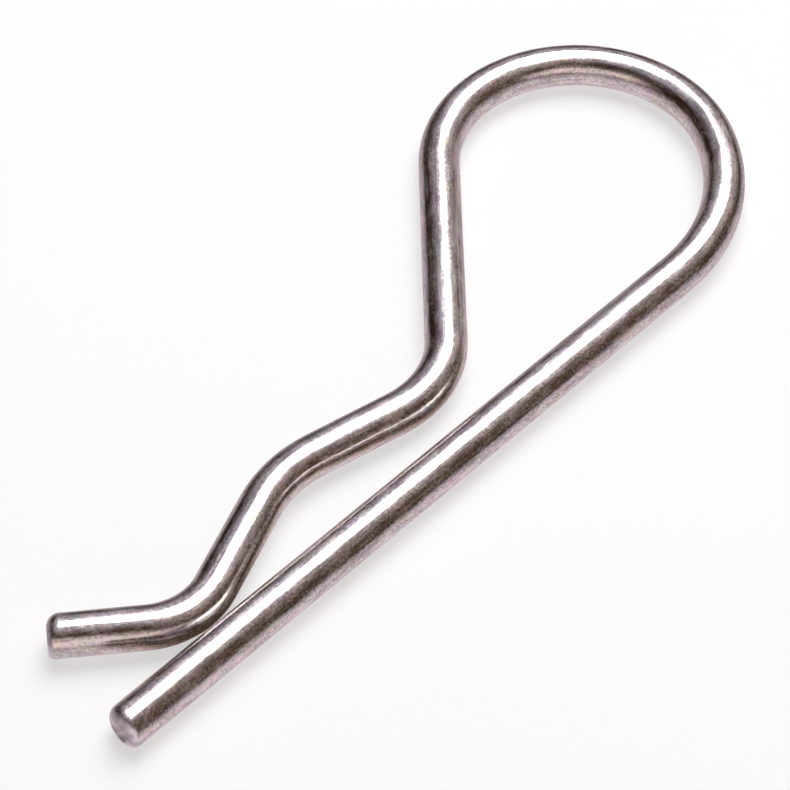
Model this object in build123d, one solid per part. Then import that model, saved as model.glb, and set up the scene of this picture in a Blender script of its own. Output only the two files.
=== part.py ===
"""Hitch pin clip (R-clip, hairpin cotter): one length of round spring wire, bent flat.

The clip lies on its side, so the whole bent wire touches the surface it rests on.
+X runs along the straight leg, from the two free ends to the eye.
+Y runs from the straight leg to the sprung leg, and +Z is up, across the flat of the clip.
The origin is the centre of the clip's outline, on the surface that it lies on.
Lengths are in millimetres and angles in degrees.
"""

from build123d import *
import os
from math import cos, radians, sin

# ---- the wire ----
wire_d = 3.76  # 0.148 in spring wire
end_round_rolled = 1.12  # cropping rolls the rim over on one side of each end
end_round_crisp = 0.45  # and leaves it crisp on the other
leg_roll = 90  # the leg's rolled side, clockwise from straight up as seen along the wire to its end
flare_roll = 40  # the sprung leg's rolled side

# ---- the straight leg, which goes through the hole across the shaft ----
leg_length = 67.7  # from the free end to where the eye begins

# ---- the eye: an easy lead-in from the leg, then a tighter turn back ----
lead_in_radius = 18.3  # every bend radius is to the middle of the wire
lead_in_turn = 59.1
eye_radius = 12.8

# ---- the sprung leg: slopes against the straight leg ----
flank_slope = 44.6  # from the eye down to the neck
rise_slope = 12.8  # from the neck up to the hump
fall_slope = 21.4  # from the hump down to the nip
flare_slope = 40.0  # from the nip up to the free end, which leads the shaft in

# ---- the sprung leg: bends and heights ----
shaft_d = 14.3  # 9/16 in shaft, which the hump sits on
neck_depth = 2.37  # how far the neck closes in behind the shaft, under the hump
nip_gap = 0.58  # left between the two legs where they come closest
neck_radius = 9.8
hump_radius = 12.0
nip_radius = 6.6
flare_length = 8.1  # straight end of the sprung leg

# ---- heights of the sprung leg's middle line over the straight leg's ----
hump_height = (shaft_d + wire_d) / 2
neck_height = hump_height - neck_depth
nip_height = wire_d + nip_gap


def sag(radius, slope):
    """Height that an arc gains between being level and reaching a slope."""
    return radius * (1 - cos(radians(slope)))


def run_between(height, slope, radius_a, radius_b=0.0):
    """Length of the straight run that, with the arcs at its ends, spans a height at a slope."""
    return (height - sag(radius_a, slope) - sag(radius_b, slope)) / sin(radians(slope))


def eye_height():
    """Height over the straight leg's line at which the eye runs out into the flank."""
    lead_in_top = sag(lead_in_radius, lead_in_turn)
    return lead_in_top + eye_radius * (cos(radians(lead_in_turn)) + cos(radians(flank_slope)))


def bends():
    """The wire from the straight leg's free end on, as (straight run, bend radius, turn) steps.

    A turn to the left is positive.
    """
    flank = run_between(eye_height() - neck_height, flank_slope, neck_radius)
    rise = run_between(neck_depth, rise_slope, neck_radius, hump_radius)
    fall = run_between(hump_height - nip_height, fall_slope, hump_radius, nip_radius)
    return [
        (leg_length, lead_in_radius, lead_in_turn),
        (0.0, eye_radius, 180 + flank_slope - lead_in_turn),
        (flank, neck_radius, -(flank_slope + rise_slope)),
        (rise, hump_radius, rise_slope + fall_slope),
        (fall, nip_radius, -(fall_slope + flare_slope)),
    ]


def middle_line():
    """The wire's middle line: straight runs joined by tangent arcs, lying level."""
    edges = []
    point = Vector(0, 0, wire_d / 2)
    heading = Vector(1, 0, 0)
    for run, radius, turn in bends():
        if run > 0:
            edges.append(PolarLine(point, run, direction=heading))
            point = edges[-1] @ 1
        edges.append(JernArc(point, heading, radius, turn))
        point = edges[-1] @ 1
        heading = edges[-1] % 1
    edges.append(PolarLine(point, flare_length, direction=heading))
    return Wire(edges)


def end_sections(end, outward, rolled):
    """Ovals across the wire that close in from its full section to the flat of a cropped end.

    The first lies on the wire's own surface, leaning because the rounding starts further back
    on the rolled side than on the crisp one. The last is the flat face at the very end.
    """
    side_round = (end_round_rolled + end_round_crisp) / 2
    sections = []
    for closed in (0, 15, 30, 45, 60, 75, 90):
        back = 1 - sin(radians(closed))
        inset = 1 - cos(radians(closed))
        low = end - outward * (end_round_crisp * back) - rolled * (wire_d / 2 - end_round_crisp * inset)
        high = end - outward * (end_round_rolled * back) + rolled * (wire_d / 2 - end_round_rolled * inset)
        tall = high - low
        plane = Plane(origin=(low + high) / 2, x_dir=tall, z_dir=tall.cross(outward.cross(rolled)))
        sections.append(plane * Ellipse(tall.length / 2, wire_d / 2 - side_round * inset))
    return sections


def crop(solid, end, outward, roll):
    """The wire with one end rounded as the cropping tool leaves it."""
    up = Vector(0, 0, 1)
    rolled = up * cos(radians(roll)) + outward.cross(up) * sin(radians(roll))
    sections = end_sections(end, outward, rolled)
    block = Box(2 * wire_d, 2 * wire_d, wire_d, align=(Align.CENTER, Align.CENTER, Align.MIN))
    waste = Plane(sections[0].face()) * block
    return solid - waste + loft(sections)


def bent_wire():
    """The wire's round section swept along its middle line, with both ends cropped."""
    line = middle_line()
    section = Plane(origin=line @ 0, z_dir=line % 0) * Circle(wire_d / 2)
    solid = sweep(section, path=line)
    solid = crop(solid, line @ 0, -(line % 0), leg_roll)
    return crop(solid, line @ 1, line % 1, flare_roll)


def at_origin(solid):
    """The solid with the centre of its outline over the origin, and its underside at Z = 0."""
    box = solid.bounding_box()
    return Pos(-box.center().X, -box.center().Y, -box.min.Z) * solid


clip_wire = at_origin(bent_wire())

os.makedirs("parts", exist_ok=True)
export_step(clip_wire, "parts/clip_wire.step")
print("length of wire", round(middle_line().length, 2), "mm")
print("size", clip_wire.bounding_box().size, "volume", round(clip_wire.volume, 1), "mm3")
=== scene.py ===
"""Looks of the hitch pin clip: bright drawn spring wire on a pale floor, in soft studio light.

Everything is in metres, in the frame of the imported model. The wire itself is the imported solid.
This script says where on the wire each point lies, as if it were straight, so that the drawing
marks of the steel can follow the wire round its bends. Then it dresses, lights and frames it.
"""

from math import cos, pi, radians, sin, tan

import bpy
import numpy as np
from mathutils import Matrix, Vector


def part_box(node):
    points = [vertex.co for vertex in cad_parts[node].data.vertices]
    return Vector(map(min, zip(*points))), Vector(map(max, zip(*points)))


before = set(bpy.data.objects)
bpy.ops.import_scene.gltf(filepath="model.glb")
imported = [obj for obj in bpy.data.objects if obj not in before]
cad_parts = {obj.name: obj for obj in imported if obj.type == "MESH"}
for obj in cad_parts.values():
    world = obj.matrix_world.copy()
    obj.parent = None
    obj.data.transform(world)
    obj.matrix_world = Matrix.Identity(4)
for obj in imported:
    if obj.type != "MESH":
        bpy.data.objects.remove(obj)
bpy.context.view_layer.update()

MM = 0.001
WHITE = (1.0, 1.0, 1.0)
BLACK = (0.0, 0.0, 0.0)
PLACE = "wire_place"  # the attribute that holds each point's place along and across the wire

# ---- the wire's own sizes, as it was bent ----
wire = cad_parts["clip_wire"]
lowest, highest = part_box("clip_wire")
wire_d = highest.z - lowest.z
leg_length = 67.7 * MM
lead_in_radius = 18.3 * MM
lead_in_turn = 59.1  # turns, slopes and all other angles are in degrees
eye_radius = 12.8 * MM
flank_slope = 44.6
rise_slope = 12.8
fall_slope = 21.4
flare_slope = 40.0
shaft_d = 14.3 * MM
neck_depth = 2.37 * MM
nip_gap = 0.58 * MM
neck_radius = 9.8 * MM
hump_radius = 12.0 * MM
nip_radius = 6.6 * MM
flare_length = 8.1 * MM

# ---- the steel ----
# A mark's numbers are its weight, its length along the wire, its width across it and its detail,
# and those of a patch or a smear are the same without the weight.
grain_mark = 0.65, 0.25 * MM, 0.20 * MM, 1.0
longer_marks = (
    (0.30, 14.0 * MM, 0.16 * MM, 1.0),  # drawing lines
    (0.30, 7.0 * MM, 1.6 * MM, 2.0),  # stains
    (0.60, 2.0 * MM, 0.55 * MM, 2.0),  # short scuffs
)
mark_levels = 0.25, 0.75  # of all marks together, where the steel is at its dullest and brightest
dull_colour = (0.46, 0.415, 0.41)
bright_colour = (0.85, 0.785, 0.78)
dull_roughness = 0.175
bright_roughness = 0.245
chalky_levels = 0.38, 0.8  # where the steel begins to look chalky, and where it does so fully
chalky_metallic = 0.835
mark_depth = 0.014 * MM
deep_share = 0.3  # of all marks, grain included, that the bump adds to the longer ones
rim_tint = (0.76, 0.74, 0.76)  # of what the steel mirrors at a very flat angle
plating_tint = 0.3  # how much the colour of the clear plating wanders
plating_patch = 1.6 * MM, 0.7 * MM, 1.0

# ---- the matt faces of the cropped ends ----
cropped_colours = (0.50, 0.45, 0.50), (0.84, 0.78, 0.84)
cropped_reach = 0.6 * MM, 0.1 * MM  # how far from the wire's end they begin, and are fully matt
cropped_smear = 0.9 * MM, 0.7 * MM, 3.0
smear_levels = 0.3, 0.7  # where the smears have the first colour, and where the second
cropped_roughness = 0.2  # this and the next are added to the steel's own
cropped_metallic = -0.35

# ---- the camera ----
view_elevation = 48.95  # how far it looks down
view_heading = 43.74  # from +X towards +Y, as every heading is
view_roll = -0.376
view_distance = 79.8 * wire_d
view_aim = Vector((-3.0 * MM, -5.7 * MM, wire_d / 2))
view_lens = 159.5
view_sensor = 36.0
view_nearest = 0.01

# ---- the soft box and the glow on the cloth round it ----
soft_box_heading = 21.8
soft_box_tilt = 26.3  # off the zenith
soft_box_distance = 0.7
soft_box_width = 38.2  # the angles that it spans, as seen from the clip
soft_box_height = 45.8
soft_box_radiance = 5.6
glow_colour = (0.100, 0.092, 0.095)  # of the cloth, as a share of the soft box's own
glow_colour_left = (0.098, 0.0965, 0.116)  # and towards its left-hand side
glow_turn = 0.35, 0.65  # shares of the cloth's width between which one becomes the other
glow_spread = 2.21  # how many times the soft box's size the glow reaches
glow_fade = 0.352
glow_edge = 120.0  # the angle that the whole sheet spans, at whose rim nearly nothing is left

# ---- the room, with a pale card that stands low on the camera's side ----
room_colour = (0.027, 0.008, 0.002)
lit_side_colour = (0.086, 0.066, 0.049)  # added on the side that the room is lighter
lit_side_heading = -52.0
card_colour = (0.98, 0.85, 0.83)
card_heading = -141.0
card_half_width = 48.2  # to either side
card_top = 30.1  # over the horizon
card_fade = 0.122
least_ahead = 1e-4  # so that a direction away from the card isn't divided by nothing

# ---- the floor ----
floor_colour = (0.93, 0.925, 0.925)
floor_roughness = 0.9
floor_size = 3.0
floor_own_white = 0.55  # share of the floor's look that is plain white, so that shadows stay light
# painted reflection: the wire mirrors the floor as a glow in this colour, which no lamp lights
painted_reflection_colour = (1.0, 0.89, 0.93)
painted_reflection_reach = 15.0 * MM  # the painted reflection dims over about this length of mirror ray
painted_reflection_by_card = 0.95  # how bright the painted reflection stays where the floor runs up to the pale card
# colour of the painted shade in the painted reflection, between the legs
painted_shade_colour = (1.0, 0.70, 0.48)
painted_shade_reach = 4.3 * MM  # how far the painted shade reaches behind the straight leg
painted_shade_level = 0.12  # what the painted shade leaves of the painted reflection close behind the leg
painted_shade_soft = 2.0 * MM  # and how softly the painted shade ends past the leg's ends


def heading_vector(degrees):
    """Level unit vector at an angle from +X towards +Y."""
    return Vector((cos(radians(degrees)), sin(radians(degrees)), 0.0))


# ---------------------------------------------------------------- the wire, straightened


def sag(radius, slope):
    """Height that an arc gains between being level and reaching a slope."""
    return radius * (1 - cos(radians(slope)))


def run_between(height, slope, radius_a, radius_b=0.0):
    """Length of the straight run that, with the arcs at its ends, spans a height at a slope."""
    return (height - sag(radius_a, slope) - sag(radius_b, slope)) / sin(radians(slope))


def bends():
    """The wire from the straight leg's free end on, as (straight run, bend radius, turn) steps.

    A turn to the left is positive.
    """
    hump_height = (shaft_d + wire_d) / 2
    neck_height = hump_height - neck_depth
    nip_height = wire_d + nip_gap
    eye_drop = eye_radius * (cos(radians(lead_in_turn)) + cos(radians(flank_slope)))
    eye_height = sag(lead_in_radius, lead_in_turn) + eye_drop
    flank = run_between(eye_height - neck_height, flank_slope, neck_radius)
    rise = run_between(neck_depth, rise_slope, neck_radius, hump_radius)
    fall = run_between(hump_height - nip_height, fall_slope, hump_radius, nip_radius)
    return [
        (leg_length, lead_in_radius, lead_in_turn),
        (0.0, eye_radius, 180 + flank_slope - lead_in_turn),
        (flank, neck_radius, -(flank_slope + rise_slope)),
        (rise, hump_radius, rise_slope + fall_slope),
        (fall, nip_radius, -(fall_slope + flare_slope)),
        (flare_length, nip_radius, 0.0),
    ]


def wire_length():
    return sum(run + radius * radians(abs(turn)) for run, radius, turn in bends())


def straightened(points):
    """Each point's length along the wire, and how far it lies left of and over the middle line.

    Every run and arc of the middle line offers its own answer, and the one nearest is kept.
    """
    place = np.zeros((len(points), 3))
    place[:, 1] = np.inf
    place[:, 2] = points[:, 2] - wire_d / 2
    start = np.array([lowest.x, lowest.y + wire_d / 2])
    angle = 0.0
    gone = 0.0
    slack = wire_d / 4

    def offer(along, aside, length):
        inside = (along > -slack) & (along < length + slack)
        better = inside & (np.abs(aside) < np.abs(place[:, 1]))
        place[better, 0] = gone + along[better]
        place[better, 1] = aside[better]

    for run, radius, turn in bends():
        ahead = np.array([cos(angle), sin(angle)])
        left = np.array([-ahead[1], ahead[0]])
        away = points[:, :2] - start
        offer(away @ ahead, away @ left, run)
        gone += run
        start = start + run * ahead
        side = 1.0 if turn > 0 else -1.0
        centre = start + side * radius * left
        spoke = points[:, :2] - centre
        reach = np.linalg.norm(spoke, axis=1)
        first = -side * left
        swept = side * (first[0] * spoke[:, 1] - first[1] * spoke[:, 0])
        swept = np.arctan2(swept, spoke @ first)
        swept = np.where(swept < -pi / 2, swept + 2 * pi, swept)
        arc = radius * radians(abs(turn))
        offer(radius * swept, side * (radius - reach), arc)
        gone += arc
        angle += radians(turn)
        start = centre + side * radius * np.array([sin(angle), -cos(angle)])
    return place


def mark_places(piece):
    """Writes every vertex's place on the straightened wire to the mesh, for its material."""
    mesh = piece.data
    points = np.empty(len(mesh.vertices) * 3)
    mesh.vertices.foreach_get("co", points)
    attribute = mesh.attributes.new(PLACE, "FLOAT_VECTOR", "POINT")
    attribute.data.foreach_set("vector", straightened(points.reshape(-1, 3)).ravel())


# ---------------------------------------------------------------- materials


class Nodes:
    """A node tree, with short calls for the nodes that this scene uses."""

    def __init__(self, tree):
        self.tree = tree

    def node(self, kind, **settings):
        made = self.tree.nodes.new(kind)
        for key, value in settings.items():
            setattr(made, key, value)
        return made

    def feed(self, socket, value):
        """Links the socket to another node's output, or sets it to a number, vector or colour."""
        if isinstance(value, bpy.types.NodeSocket):
            self.tree.links.new(value, socket)
        elif socket.type == "RGBA":
            socket.default_value = (*value, 1.0)
        else:
            socket.default_value = value

    def math(self, operation, *values):
        made = self.node("ShaderNodeMath", operation=operation)
        for socket, value in zip(made.inputs, values):
            self.feed(socket, value)
        return made.outputs[0]

    def vector(self, operation, *vectors):
        made = self.node("ShaderNodeVectorMath", operation=operation)
        for socket, value in zip(made.inputs, vectors):
            self.feed(socket, value)
        return made.outputs[0]

    def along(self, vector, axis):
        """How far a vector goes along an axis."""
        made = self.node("ShaderNodeVectorMath", operation="DOT_PRODUCT")
        self.feed(made.inputs[0], vector)
        self.feed(made.inputs[1], axis)
        return made.outputs["Value"]

    def chain(self, operation, first, *rest):
        for value in rest:
            first = self.math(operation, first, value)
        return first

    def total(self, *values):
        return self.chain("ADD", *values)

    def product(self, *values):
        return self.chain("MULTIPLY", *values)

    def largest(self, *values):
        return self.chain("MAXIMUM", *values)

    def spread(self, value, low, high, to_low=0.0, to_high=1.0):
        """The value stretched from low..high to to_low..to_high with soft ends, and held there."""
        made = self.node("ShaderNodeMapRange", interpolation_type="SMOOTHSTEP")
        numbers = {"From Min": low, "From Max": high, "To Min": to_low, "To Max": to_high}
        for socket, number in numbers.items():
            made.inputs[socket].default_value = number
        self.feed(made.inputs["Value"], value)
        return made.outputs["Result"]

    def mix(self, share, a, b):
        """Colour a, with its share of colour b."""
        made = self.node("ShaderNodeMix", data_type="RGBA")
        for socket, value in zip([made.inputs[0], made.inputs[6], made.inputs[7]], [share, a, b]):
            self.feed(socket, value)
        return made.outputs[2]

    def blotches(self, place, length, width, detail, output="Fac"):
        """Noise in blotches of this length along the wire and this width across it."""
        mapping = self.node("ShaderNodeMapping")
        self.feed(mapping.inputs["Vector"], place)
        self.feed(mapping.inputs["Scale"], (1 / length, 1 / width, 1 / width))
        made = self.node("ShaderNodeTexNoise")
        self.feed(made.inputs["Vector"], mapping.outputs["Vector"])
        self.feed(made.inputs["Scale"], 1.0)
        self.feed(made.inputs["Detail"], detail)
        return made.outputs[output]

    def faded(self, past, fade):
        """1 well inside a bright shape and 0 well outside, where past is 1 on its outline."""
        falling = self.math("EXPONENT", self.product(self.math("SUBTRACT", past, 1.0), 1 / fade))
        return self.math("DIVIDE", 1.0, self.total(falling, 1.0))


def new_material(name):
    material = bpy.data.materials.new(name)
    material.use_nodes = True
    return material, Nodes(material.node_tree), material.node_tree.nodes["Principled BSDF"]


def wire_marks(nodes, place):
    """How bright the steel's marks leave each place, round 0.5, and how high they leave it."""
    weights = [weight for weight, *size in (grain_mark, *longer_marks)]
    level = 0.5 - sum(weights) / 2
    for weight, *size in longer_marks:
        level = nodes.total(level, nodes.product(nodes.blotches(place, *size), weight))
    weight, *size = grain_mark
    bright = nodes.total(level, nodes.product(nodes.blotches(place, *size), weight))
    return bright, nodes.total(level, nodes.product(bright, deep_share))


def cropped_share(nodes, place):
    """1 on the faces of the cropped ends, and 0 on the rest of the wire."""
    half_length = wire_length() / 2
    past_middle = nodes.math("SUBTRACT", nodes.along(place, Vector((1, 0, 0))), half_length)
    begins, full = (half_length - reach for reach in cropped_reach)
    return nodes.spread(nodes.math("ABSOLUTE", past_middle), begins, full)


def drawn_steel():
    """Bright spring steel wire: drawing lines along it, a fine grain, and duller stained patches.

    Its clear plating is faintly tinted in patches, and the faces of its cropped ends are matt.
    """
    material, nodes, surface = new_material("drawn_spring_steel")
    place = nodes.node("ShaderNodeAttribute", attribute_name=PLACE).outputs["Vector"]
    bright, height = wire_marks(nodes, place)
    cropped = cropped_share(nodes, place)

    colour = nodes.mix(nodes.spread(bright, *mark_levels), dull_colour, bright_colour)
    hues = nodes.blotches(place, *plating_patch, "Color")
    least = 1 - plating_tint / 2
    hues = nodes.vector("MULTIPLY_ADD", hues, Vector([plating_tint] * 3), Vector([least] * 3))
    colour = nodes.vector("MULTIPLY", colour, hues)
    smears = nodes.spread(nodes.blotches(place, *cropped_smear), *smear_levels)
    matt = nodes.mix(smears, *cropped_colours)
    nodes.feed(surface.inputs["Base Color"], nodes.mix(cropped, colour, matt))

    metallic = nodes.spread(bright, *chalky_levels, 1.0, chalky_metallic)
    metallic = nodes.total(metallic, nodes.product(cropped, cropped_metallic))
    nodes.feed(surface.inputs["Metallic"], metallic)
    rough = nodes.spread(bright, *mark_levels, dull_roughness, bright_roughness)
    rough = nodes.total(rough, nodes.product(cropped, cropped_roughness))
    nodes.feed(surface.inputs["Roughness"], rough)
    nodes.feed(surface.inputs["Specular Tint"], rim_tint)

    bump = nodes.node("ShaderNodeBump")
    nodes.feed(bump.inputs["Strength"], 1.0)
    nodes.feed(bump.inputs["Distance"], mark_depth)
    nodes.feed(bump.inputs["Height"], height)
    nodes.feed(surface.inputs["Normal"], bump.outputs["Normal"])
    return material


def card_share(nodes, towards, level):
    """1 where a direction from the clip meets the pale card, and 0 where it passes it.

    The level is how far the direction goes up, for a direction of length 1.
    """
    ahead = nodes.largest(nodes.along(towards, heading_vector(card_heading)), least_ahead)
    aside = nodes.math("ABSOLUTE", nodes.along(towards, heading_vector(card_heading + 90)))
    across = nodes.product(nodes.math("DIVIDE", aside, ahead), 1 / tan(radians(card_half_width)))
    up = nodes.product(nodes.math("DIVIDE", level, ahead), 1 / tan(radians(card_top)))
    return nodes.faded(nodes.largest(across, up), card_fade)


def painted_leg_shade(nodes, past_end):
    """Painted shade: 1 where the floor lies open to the pale card, and less close behind the
    straight leg.

    The place on the floor is measured from the leg's free end.
    """
    towards = heading_vector(card_heading)
    behind = nodes.math("SUBTRACT", nodes.along(past_end, Vector((0, 1, 0))), wire_d)
    slanted = nodes.product(behind, towards.x / towards.y)
    crossing = nodes.math("SUBTRACT", nodes.along(past_end, Vector((1, 0, 0))), slanted)
    past_free_end = nodes.spread(crossing, -painted_shade_soft, painted_shade_soft, 1.0, 0.0)
    past_eye_end = nodes.spread(crossing, leg_length - painted_shade_soft, leg_length + painted_shade_soft)
    in_front = nodes.math("LESS_THAN", behind, -wire_d / 2)
    # painted shade, darkest close behind the leg and gone a few millimetres further back
    light = nodes.spread(behind, 0.0, painted_shade_reach, painted_shade_level, 1.0)
    return nodes.largest(light, past_free_end, past_eye_end, in_front)


def floor_paper():
    """Plain pale floor.

    The wire mirrors a painted reflection of it, a glow that only mirror and glass rays see: white
    close by and dimmer further away, except past its free ends, where the floor runs up to the
    pale card. Where the straight leg hides the card from the floor, as between the two legs, that
    painted reflection holds a painted brown shade, which no lamp casts.
    """
    material, nodes, surface = new_material("floor_paper")
    nodes.feed(surface.inputs["Base Color"], floor_colour)
    nodes.feed(surface.inputs["Roughness"], floor_roughness)
    nodes.feed(surface.inputs["Specular IOR Level"], 0.0)

    ray = nodes.node("ShaderNodeLightPath").outputs
    # painted reflection of the floor, for mirror rays: bright close to the wire, dimmer with the
    # ray's length, and bright again towards the pale card
    near = nodes.math("EXPONENT", nodes.product(ray["Ray Length"], -1 / painted_reflection_reach))
    place = nodes.node("ShaderNodeNewGeometry").outputs["Position"]
    past_end = nodes.vector("SUBTRACT", place, Vector((lowest.x, lowest.y, 0.0)))
    carded = nodes.product(card_share(nodes, past_end, 0.0), painted_reflection_by_card)
    # painted brown shade behind the straight leg, in the painted reflection only
    light = painted_leg_shade(nodes, past_end)
    mirrored = nodes.product(nodes.largest(near, carded), light)
    tint = nodes.mix(light, painted_shade_colour, painted_reflection_colour)

    # the glow is plain white for the camera, and the painted reflection for mirror and glass rays
    glowing = nodes.node("ShaderNodeEmission")
    nodes.feed(glowing.inputs["Strength"], nodes.largest(mirrored, ray["Is Camera Ray"]))
    nodes.feed(glowing.inputs["Color"], nodes.mix(ray["Is Camera Ray"], tint, WHITE))
    onward = nodes.largest(ray["Is Glossy Ray"], ray["Is Transmission Ray"])
    mixed = nodes.node("ShaderNodeMixShader")
    white_share = nodes.product(ray["Is Camera Ray"], floor_own_white)
    nodes.feed(mixed.inputs[0], nodes.largest(onward, white_share))
    nodes.feed(mixed.inputs[1], surface.outputs[0])
    nodes.feed(mixed.inputs[2], glowing.outputs[0])
    nodes.feed(nodes.tree.nodes["Material Output"].inputs["Surface"], mixed.outputs[0])
    return material


# ---------------------------------------------------------------- floor, light and camera


def make_floor():
    half = floor_size / 2
    corners = [(-half, -half, 0.0), (half, -half, 0.0), (half, half, 0.0), (-half, half, 0.0)]
    mesh = bpy.data.meshes.new("floor")
    mesh.from_pydata(corners, [], [(0, 1, 2, 3)])
    floor = bpy.data.objects.new("floor", mesh)
    mesh.materials.append(floor_paper())
    bpy.context.scene.collection.objects.link(floor)


def aimed(location, target, roll=0.0):
    """A placing at location that looks along its own -Z at target, with +Z of the world up."""
    look = (target - location).to_track_quat("-Z", "Y").to_matrix().to_4x4()
    return Matrix.Translation(location) @ look @ Matrix.Rotation(roll, 4, "Z")


def soft_box_pattern(nodes, sheet_size):
    """Colour of the lamp's sheet: the white soft box in its middle, and the glow round it."""
    spot = nodes.node("ShaderNodeSeparateXYZ")
    nodes.feed(spot.inputs[0], nodes.node("ShaderNodeNewGeometry").outputs["Parametric"])
    past = []
    for axis, angle in (("X", soft_box_width), ("Y", soft_box_height)):
        half = soft_box_distance * tan(radians(angle / 2)) / sheet_size
        off_middle = nodes.math("ABSOLUTE", nodes.math("SUBTRACT", spot.outputs[axis], 0.5))
        past.append(nodes.product(off_middle, 1 / half))
    past = nodes.largest(*past)
    glow = nodes.faded(nodes.product(past, 1 / glow_spread), glow_fade)
    cloth = nodes.mix(nodes.spread(spot.outputs["X"], *glow_turn), glow_colour, glow_colour_left)
    glow = nodes.mix(glow, BLACK, cloth)
    return nodes.mix(nodes.math("LESS_THAN", past, 1.0), glow, WHITE)


def make_soft_box():
    """One large soft box, high up on the far side of the clip, with a dim glow round it."""
    size = 2 * soft_box_distance * tan(radians(glow_edge / 2))
    lamp = bpy.data.lights.new("soft_box", "AREA")
    lamp.shape = "SQUARE"
    lamp.size = size
    lamp.energy = soft_box_radiance * pi * size**2
    lamp.use_nodes = True
    nodes = Nodes(lamp.node_tree)
    nodes.feed(nodes.tree.nodes["Emission"].inputs["Color"], soft_box_pattern(nodes, size))
    box = bpy.data.objects.new("soft_box", lamp)
    bpy.context.scene.collection.objects.link(box)
    tilt = radians(soft_box_tilt)
    direction = heading_vector(soft_box_heading) * sin(tilt) + Vector((0, 0, cos(tilt)))
    box.matrix_world = aimed(direction * soft_box_distance, Vector((0, 0, 0)))


def make_room():
    """The dim warm room that the bright wire mirrors, with a pale card low on the camera's side."""
    world = bpy.data.worlds.new("room")
    world.use_nodes = True
    nodes = Nodes(world.node_tree)
    direction = nodes.node("ShaderNodeTexCoord").outputs["Generated"]
    lit_share = nodes.total(nodes.along(direction, heading_vector(lit_side_heading) * 0.5), 0.5)
    lit_colour = [room + side for room, side in zip(room_colour, lit_side_colour)]
    colour = nodes.mix(lit_share, room_colour, lit_colour)
    level = nodes.math("ABSOLUTE", nodes.along(direction, Vector((0, 0, 1))))
    colour = nodes.mix(card_share(nodes, direction, level), colour, card_colour)
    nodes.feed(nodes.tree.nodes["Background"].inputs["Color"], colour)
    bpy.context.scene.world = world


def make_camera():
    down = radians(view_elevation)
    forward = heading_vector(view_heading) * cos(down) - Vector((0, 0, sin(down)))
    camera = bpy.data.cameras.new("camera")
    camera.lens = view_lens
    camera.sensor_width = view_sensor
    camera.clip_start = view_nearest
    holder = bpy.data.objects.new("camera", camera)
    bpy.context.scene.collection.objects.link(holder)
    holder.matrix_world = aimed(view_aim - forward * view_distance, view_aim, radians(view_roll))
    bpy.context.scene.camera = holder


mark_places(wire)
wire.material_slots[0].material = drawn_steel()
make_floor()
make_soft_box()
make_room()
make_camera()
bpy.context.scene.view_settings.view_transform = "Standard"
